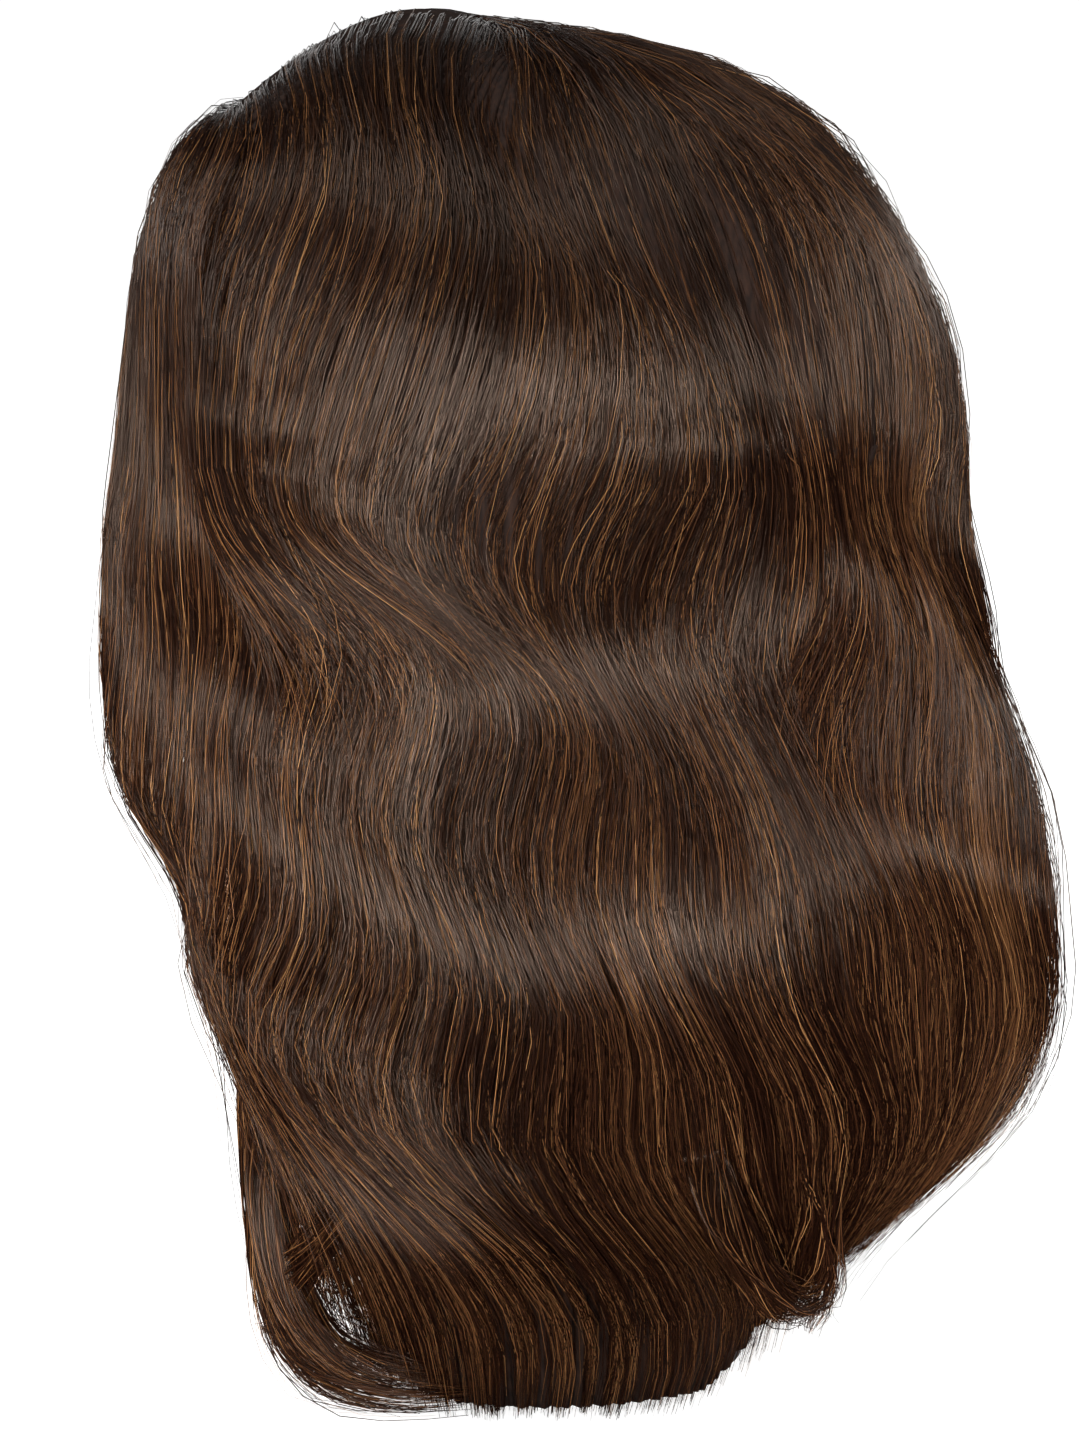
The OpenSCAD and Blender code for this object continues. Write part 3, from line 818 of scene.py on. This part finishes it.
def skin_points(angle, z, lift):
    x, y, z = skull(angle, z, lift, 0.0)
    turn = from_face(angle)
    ahead = ease(2.2 * np.cos(angle)) * (np.cos(angle) > 0) * (lift < 46)
    relief_y = nose(x, z) + eye_bed(x, z) + mouth(x, z) + chin(x, z) + cheek(x, z)
    y = y - ahead * relief_y
    ear = 0.9 * bell(turn - 84, 8) * plateau(z - 186, 22)
    x = x + ear * np.sign(x)

    # Lids: the skin follows the eyeball a little outside it, and opens in an almond over it
    across, up = np.abs(x) - BALL_X, z - EYE_H
    near = across**2 + up**2
    ball = BALL_Y - np.sqrt(np.maximum((EYE_R + LID_T) ** 2 - near, 0))
    lidded = (near < (EYE_R + LID_T) ** 2) & (np.cos(angle) > 0) & (lift <= 0)
    blend = 1.6
    h = np.clip(0.5 + 0.5 * (y - ball) / blend, 0, 1)
    over = y + (ball - y) * h - blend * h * (1 - h)
    from_opening = np.abs(x) - OPEN_X
    crease = 0.9 * bell(up - 7.2 + 0.03 * from_opening**2, 0.8) * (np.abs(from_opening) < 11)
    hole = ease(opening(x, z) / 0.7 + 0.5)
    y = np.where(lidded, (over + crease) * (1 - hole) + (y + 2.0) * hole, y)
    return x, y, z


def face_y(x, z):
    """Depth of the skin at a place on the face."""
    angle = np.arcsin(np.clip(x / curve(SIDE_LINE, z), -1, 1))
    return skin_points(angle, z, 0 * z)[1]


def skin_material():
    mat, tree, shader = material(
        "skin_vinyl", 0.46, Specular_IOR_Level=0.42, Subsurface_Weight=0.10, Subsurface_Scale=0.003,
    )
    shader.inputs["Subsurface Radius"].default_value = (1.0, 0.4, 0.2)
    base = ramp(tree, [(0.3, (0.50, 0.290, 0.195)), (0.7, (0.56, 0.340, 0.240))])
    tree.links.new(noise(tree, 55, 5).outputs["Fac"], base.inputs["Fac"])
    colour = base.outputs["Color"]
    for name, paint in (
        ("blush", (0.52, 0.190, 0.140)), ("lips", (0.34, 0.098, 0.080)), ("brow", (0.075, 0.035, 0.022)),
    ):
        mask = node(tree, "ShaderNodeAttribute", attribute_name=name)
        mix = node(tree, "ShaderNodeMix", data_type="RGBA")
        tree.links.new(mask.outputs["Fac"], mix.inputs["Factor"])
        tree.links.new(colour, mix.inputs["A"])
        mix.inputs["B"].default_value = (*paint, 1)
        colour = mix.outputs["Result"]
    tree.links.new(colour, shader.inputs["Base Color"])
    pores = noise(tree, 900, 3)
    tree.links.new(remapped(tree, pores.outputs["Fac"], 0.38, 0.56), shader.inputs["Roughness"])
    bumped(tree, shader, pores.outputs["Fac"], 0.18, 0.0004)
    return mat


def brow_line(side):
    """Height of the middle of the brow, a distance to the side."""
    return BROW_H + 0.17 * (side - 16) - 0.010 * np.maximum(side - 34, 0) ** 2


def paint_masks(mesh, points):
    """Warm cheeks, lips and soft painted brows, as shares on the points of the skin."""
    x, y, z = points
    side = np.abs(x)
    line, height = lip_line(x)
    width = np.clip(1 - (side / 23.5) ** 2, 0, 1) ** 0.55
    in_lips = np.minimum(line + height * width - z, z - (line - 9.0 * width))
    lips = ease(in_lips / 2.0 + 0.45) * (width > 0)
    blush = 0.42 * bell(side - 42, 15) * bell(z - 172, 13) + 0.22 * bell(x, 12) * bell(z - 158, 9)
    ends = ease((side - 14) / 5) * ease((50 - side) / 9)
    brow = 0.45 * bell(z - brow_line(side) - 0.7, 2.6 - 0.03 * np.clip(side - 16, 0, 30)) * ends
    for name, values in (("lips", lips), ("blush", blush), ("brow", brow)):
        values = values * (y < 0)
        point_values(mesh, name, values)


def head():
    """Vinyl skin of the head and neck, with its lining, closed round the rim of the neck."""
    fine = np.radians(np.linspace(-46, 46, 172, endpoint=False))
    coarse = np.radians(np.linspace(46, 314, 88, endpoint=False))
    angle = np.concatenate([fine, coarse])[None, :]
    neck = np.linspace(SKIN_LOW, 84, 30, endpoint=False)
    heights = np.concatenate([neck, np.linspace(84, WIDEST_H, 166)])
    lifts = np.concatenate([np.linspace(0.8, 40, 26), np.linspace(42, 88, 20)])
    z = np.concatenate([heights, WIDEST_H + DOME_H * np.sin(np.radians(lifts))])[:, None]
    lift = np.concatenate([0 * heights, lifts])[:, None]
    outer = np.stack(skin_points(angle, z, lift + 0 * angle), axis=-1)
    few = np.concatenate([np.arange(0, len(heights), 12), np.arange(len(heights) + 2, len(z), 6)])
    dome = DOME_H - SKIN_T
    low = np.where(lift > 0, WIDEST_H + dome * np.sin(np.radians(lift)), z)
    inner = np.stack(skull(angle, low[few], lift[few] + 0 * angle, SKIN_T), axis=-1)
    rows, cols = outer.shape[:2]
    tops = np.array([[0, CENTRE_Y, CROWN_H], [0, CENTRE_Y, CROWN_H - SKIN_T]])
    verts = np.concatenate([outer.reshape(-1, 3), inner.reshape(-1, 3), tops])
    first = rows * cols
    pole = first + inner.shape[0] * cols
    k = np.arange(cols)
    k2 = (k + 1) % cols

    def walls(start, count, flip):
        a = start + np.arange(count - 1)[:, None] * cols
        quads = np.stack([a + k, a + k2, a + cols + k2, a + cols + k], axis=-1).reshape(-1, 4)
        return quads[:, ::-1] if flip else quads

    def cap(last, tip, flip):
        tris = np.stack([last + k, last + k2, tip + 0 * k], axis=-1)
        return tris[:, ::-1] if flip else tris

    rim = np.stack([k2, k, first + k, first + k2], axis=-1)
    quads = np.concatenate([walls(0, rows, False), walls(first, inner.shape[0], True), rim])
    tris = np.concatenate([cap(first - cols, pole, False), cap(pole - cols, pole + 1, True)])
    mesh, _ = mesh_from("head_vinyl", verts, quads, tris)
    paint_masks(mesh, verts.T)
    return piece("head_vinyl", mesh, skin_material(), "skin", "head_skin")


def eye_material():
    mat, tree, shader = material("eye_acrylic", 0.12, Coat_Weight=1.0, Coat_Roughness=0.03)
    ring = node(tree, "ShaderNodeAttribute", attribute_name="ring")
    spoke = node(tree, "ShaderNodeAttribute", attribute_name="spoke")
    streaks = noise(tree, 3.0, 4)
    tree.links.new(spoke.outputs["Vector"], streaks.inputs["Vector"])
    zones = ramp(tree, [
        (0.0, (0.004, 0.003, 0.003)), (0.10, (0.004, 0.003, 0.003)), (0.12, (0.10, 0.045, 0.018)),
        (0.22, (0.17, 0.085, 0.035)), (0.31, (0.06, 0.03, 0.016)), (0.335, (0.015, 0.010, 0.010)),
        (0.37, (0.74, 0.70, 0.66)), (1.0, (0.72, 0.62, 0.58)),
    ])
    tree.links.new(ring.outputs["Fac"], zones.inputs["Fac"])
    light = remapped(tree, streaks.outputs["Fac"], 0.55, 1.3, span=(0.3, 0.7))
    tree.links.new(scaled(tree, zones.outputs["Color"], light), shader.inputs["Base Color"])
    return mat


def eye(side, mat):
    """Acrylic eye with a raised cornea over its iris, closed behind."""
    rings, sectors, reach = 44, 72, 84.0
    theta = np.radians(np.linspace(0, reach, rings + 1)[1:])[:, None]
    phi = np.linspace(0, 2 * math.pi, sectors, endpoint=False)[None, :]
    r = EYE_R - 0.1 + 0.5 * bell(np.degrees(theta), 20)
    gaze = math.radians(14) * side
    across = r * np.sin(theta) * np.cos(phi)
    up = r * np.sin(theta) * np.sin(phi)
    out = r * np.cos(theta) + 0 * phi
    x = side * BALL_X + across * math.cos(gaze) + out * math.sin(gaze)
    y = BALL_Y + across * math.sin(gaze) - out * math.cos(gaze)
    shell = np.stack([x, y, EYE_H + up], axis=-1).reshape(-1, 3)
    far = EYE_R + 0.4
    front = [side * BALL_X + far * math.sin(gaze), BALL_Y - far * math.cos(gaze), EYE_H]
    behind = [side * BALL_X, BALL_Y, EYE_H]
    verts = np.concatenate([shell, [front, behind]])
    k = np.arange(sectors)
    k2 = (k + 1) % sectors
    a = np.arange(rings - 1)[:, None] * sectors
    quads = np.stack([a + k, a + sectors + k, a + sectors + k2, a + k2], axis=-1).reshape(-1, 4)
    last = (rings - 1) * sectors
    tris = np.concatenate([
        np.stack([k, k2, rings * sectors + 0 * k], axis=-1),
        np.stack([last + k2, last + k, rings * sectors + 1 + 0 * k], axis=-1),
    ])
    word = "left" if side > 0 else "right"
    mesh, _ = mesh_from("eyeball_" + word, verts, quads, tris)
    ring = np.concatenate([np.repeat(np.degrees(theta[:, 0]) / reach, sectors), [0, 1]])
    point_values(mesh, "ring", ring)
    spokes = np.stack([np.cos(phi) * 4 + 0 * theta, np.sin(phi) * 4 + 0 * theta, theta + 0 * phi], axis=-1)
    spokes = np.concatenate([spokes.reshape(-1, 3), [[0, 0, 0], [0, 0, 0]]])
    spoke = mesh.attributes.new("spoke", "FLOAT_VECTOR", "POINT")
    spoke.data.foreach_set("vector", spokes.astype(np.float32).ravel())
    return piece("eyeball_" + word, mesh, mat, "eye", "eye_" + word)


def fibre_material(name, root, tip):
    mat, tree, shader = material(name, 0.45, Specular_IOR_Level=0.4)
    along = node(tree, "ShaderNodeAttribute", attribute_name="along")
    shade = ramp(tree, [(0.0, root), (1.0, tip)])
    tree.links.new(along.outputs["Fac"], shade.inputs["Fac"])
    tree.links.new(shade.outputs["Color"], shader.inputs["Base Color"])
    return mat


def fibres(name, roots, ways, length, lift, width, mat, *stands_for):
    """Short curved fibres. ways is each fibre's direction, and lift how far it bends up."""
    t = np.linspace(0, 1, 7)[None, :, None]
    rise = np.array([0, 0, 1.0])
    paths = roots[:, None] + ways[:, None] * length[:, None, None] * t + rise * lift[:, None, None] * t * t
    mesh = strand_mesh(name, paths, width, np.zeros(len(roots)))
    return piece(name, mesh, mat, "lash", *stands_for)


def lashes_and_brows():
    made = []
    mat = fibre_material("lash_fibre", (0.008, 0.005, 0.004), (0.024, 0.014, 0.010))
    brow_mat = fibre_material("brow_fibre", (0.030, 0.014, 0.008), (0.090, 0.045, 0.026))
    g = np.random.default_rng(61)
    for side, word in ((1, "left"), (-1, "right")):
        sets = []
        for count, edge, longest, bend in ((150, UPPER_OPEN, 7.0, 3.4), (60, -LOWER_OPEN, 3.4, -0.8)):
            w = np.sort(g.uniform(-0.86, 0.96, count))
            x = OPEN_X + OPEN_W * w
            z = EYE_H + 0.6 * w + edge * np.sqrt(1 - w * w)
            y = BALL_Y - np.sqrt(np.maximum((EYE_R + 0.7) ** 2 - (x - BALL_X) ** 2 - (z - EYE_H) ** 2, 0))
            ways = np.stack([0.55 * w + 0.15, -0.9 + 0 * w, 0.12 * np.sign(edge) + 0 * w], axis=-1)
            ways = ways + g.normal(0, 0.06, ways.shape)
            length = longest * g.uniform(0.7, 1.0, count) * (0.75 + 0.25 * w)
            sets.append((np.stack([x, y, z], axis=-1), ways, length, bend * g.uniform(0.8, 1.1, count)))
        roots, ways, length, lift = (np.concatenate(part) for part in zip(*sets))
        mirror = np.array([side, 1, 1])
        width = 0 * lift + LASH_W
        made.append(fibres(
            "lashes_" + word, roots * mirror, ways * mirror, length, lift, width, mat, "lash_" + word,
        ))

        count = 190
        x = 15.5 + 31 * g.random(count) ** 1.15
        z = brow_line(x) + g.normal(0, 1.5, count) * (1.25 - x / 60)
        y = face_y(x, z) - 0.05
        ahead = face_y(x + 1.0, z) - face_y(x, z)
        ways = np.stack([0 * x + 1, ahead - 0.09, 0.75 * (1 - (x - 15) / 32)], axis=-1)
        ways /= np.linalg.norm(ways, axis=1, keepdims=True)
        length = g.uniform(4.0, 6.0, count) - 1.8 * ease((x - 30) / 16)
        lift = -0.7 * g.uniform(0, 1, count) * ease((x - 26) / 14)
        roots = np.stack([x, y, z], axis=-1)
        width = 0 * lift + BROW_W
        made.append(fibres(
            "brow_" + word, roots * mirror, ways * mirror, length, lift, width, brow_mat,
        ))
    return made


def moulded(name, colour, lighter, roughness):
    """Moulded plastic with a fine grain and slightly worn, paler patches."""
    mat, tree, shader = material(name, roughness)
    wear = noise(tree, 40, 6)
    shade = ramp(tree, [(0.35, colour), (0.75, lighter)])
    tree.links.new(wear.outputs["Fac"], shade.inputs["Fac"])
    tree.links.new(shade.outputs["Color"], shader.inputs["Base Color"])
    rough = remapped(tree, wear.outputs["Fac"], roughness - 0.10, roughness + 0.12)
    tree.links.new(rough, shader.inputs["Roughness"])
    bumped(tree, shader, noise(tree, 1600, 2).outputs["Fac"], 0.35, 0.0003)
    return mat


def foam_material():
    mat, tree, shader = material("foam_cells", 0.9)
    cells = node(tree, "ShaderNodeTexVoronoi")
    cells.inputs["Scale"].default_value = 900
    # Darker towards each cell's middle, where the bump makes a pit: painted shade in the pits.
    shade = ramp(tree, [(0.0, (0.62, 0.55, 0.38)), (0.5, (0.80, 0.73, 0.55))])
    tree.links.new(cells.outputs["Distance"], shade.inputs["Fac"])
    tree.links.new(shade.outputs["Color"], shader.inputs["Base Color"])
    bumped(tree, shader, cells.outputs["Distance"], 0.6, 0.0006)
    return mat


def hard_parts():
    nodes = []
    for name, mat in (
        ("base_plate", moulded("black_plastic", (0.016, 0.016, 0.019), (0.040, 0.040, 0.045), 0.48)),
        ("socket_sleeve", moulded("grey_plastic", (0.045, 0.045, 0.052), (0.080, 0.080, 0.090), 0.42)),
        ("foam_core", foam_material()),
    ):
        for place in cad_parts[name].material_slots:
            place.material = mat
        nodes.append(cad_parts[name])
    return nodes


# ---- Studio ----
def backdrop(tree):
    """A white backdrop that lights the object only a little, and mostly from above the horizon."""
    shown = tree.nodes["Background"]
    dim = node(tree, "ShaderNodeBackground")
    path = node(tree, "ShaderNodeLightPath")
    mix = node(tree, "ShaderNodeMixShader")
    place = node(tree, "ShaderNodeTexCoord")
    split = node(tree, "ShaderNodeSeparateXYZ")
    shown.inputs["Color"].default_value = (1, 1, 1, 1)
    shown.inputs["Strength"].default_value = 1.0
    tree.links.new(place.outputs["Generated"], split.inputs["Vector"])
    strength = remapped(tree, split.outputs["Z"], 0.01, 0.14, span=(-0.05, 0.35))
    tree.links.new(strength, dim.inputs["Strength"])
    tree.links.new(path.outputs["Is Camera Ray"], mix.inputs["Fac"])
    tree.links.new(dim.outputs["Background"], mix.inputs[1])
    tree.links.new(shown.outputs["Background"], mix.inputs[2])
    tree.links.new(mix.outputs["Shader"], tree.nodes["World Output"].inputs["Surface"])


# Azimuth and elevation of the camera, with its distance and target in metres
VIEW = (104, 9)
VIEW_DISTANCE = 1.4
VIEW_TARGET = (0.0023, (CENTRE_Y - 0.2) * MM, 0.154)
LENS = 147
# name, azimuth, elevation, distance in metres, width, height, watts
LIGHTS = [
    ("key", 96, 5, 2.0, 2.4, 0.4, 122),
    ("top", 110, 62, 1.6, 0.8, 0.8, 9),
    ("front", 10, 24, 2.0, 1.2, 0.6, 20),
    ("rear", 205, 24, 2.0, 1.6, 0.6, 24),
    ("far", 285, 24, 2.0, 1.2, 0.6, 4),
]


def studio(pale):
    """White floor and soft lights. The key is strong, for the dark hair, and leaves the pale pieces out."""
    scene = bpy.context.scene
    scene.view_settings.view_transform = "Standard"
    world = bpy.data.worlds.new("studio")
    scene.world = world
    world.use_nodes = True
    backdrop(world.node_tree)

    mesh = bpy.data.meshes.new("floor")
    mesh.from_pydata([(-40, -40, 0), (40, -40, 0), (40, 40, 0), (-40, 40, 0)], [], [(0, 1, 2, 3)])
    floor = link(bpy.data.objects.new("floor", mesh))
    mat, _, shader = material("floor_white", 0.6)
    shader.inputs["Base Color"].default_value = (0.5, 0.5, 0.5, 1)
    shader.inputs["Emission Color"].default_value = (1, 1, 1, 1)
    shader.inputs["Emission Strength"].default_value = 0.80
    floor.visible_glossy = False
    floor.data.materials.append(mat)

    shaded = bpy.data.collections.new("shaded_from_key")
    for shown in pale:
        shaded.objects.link(shown)
    for member in shaded.collection_objects:
        member.light_linking.link_state = "EXCLUDE"
    for name, azimuth, elevation, distance, width, height, power in LIGHTS:
        lamp = bpy.data.lights.new(name, "AREA")
        lamp.shape = "RECTANGLE"
        lamp.size = width
        lamp.size_y = height
        lamp.energy = power
        obj = link(bpy.data.objects.new(name, lamp))
        obj.visible_camera = False
        aim(obj, azimuth, elevation, distance, (0, 0, 0.16))
        if name == "key":
            obj.light_linking.receiver_collection = shaded
    sun = bpy.data.lights.new("sun", "SUN")
    sun.energy = 1.4
    sun.angle = math.radians(30)
    aim(link(bpy.data.objects.new("sun", sun)), 60, 60, 2, (0, 0, 0))


def aim(obj, azimuth, elevation, distance, target):
    """Places obj round the target and points it there."""
    a, e = math.radians(azimuth), math.radians(elevation)
    away = Vector((math.sin(a) * math.cos(e), -math.cos(a) * math.cos(e), math.sin(e)))
    obj.location = Vector(target) + distance * away
    obj.rotation_euler = away.to_track_quat("Z", "Y").to_euler()


def camera():
    """Sees the head from its left and a little from behind, as it was photographed."""
    lens = bpy.data.cameras.new("camera")
    lens.lens = LENS
    lens.clip_start = 0.05
    obj = link(bpy.data.objects.new("camera", lens))
    aim(obj, *VIEW, VIEW_DISTANCE, VIEW_TARGET)
    bpy.context.scene.camera = obj


camera()
hair()
acrylic = eye_material()
pale = [head(), eye(1, acrylic), eye(-1, acrylic), *lashes_and_brows(), *hard_parts()]
studio(pale)
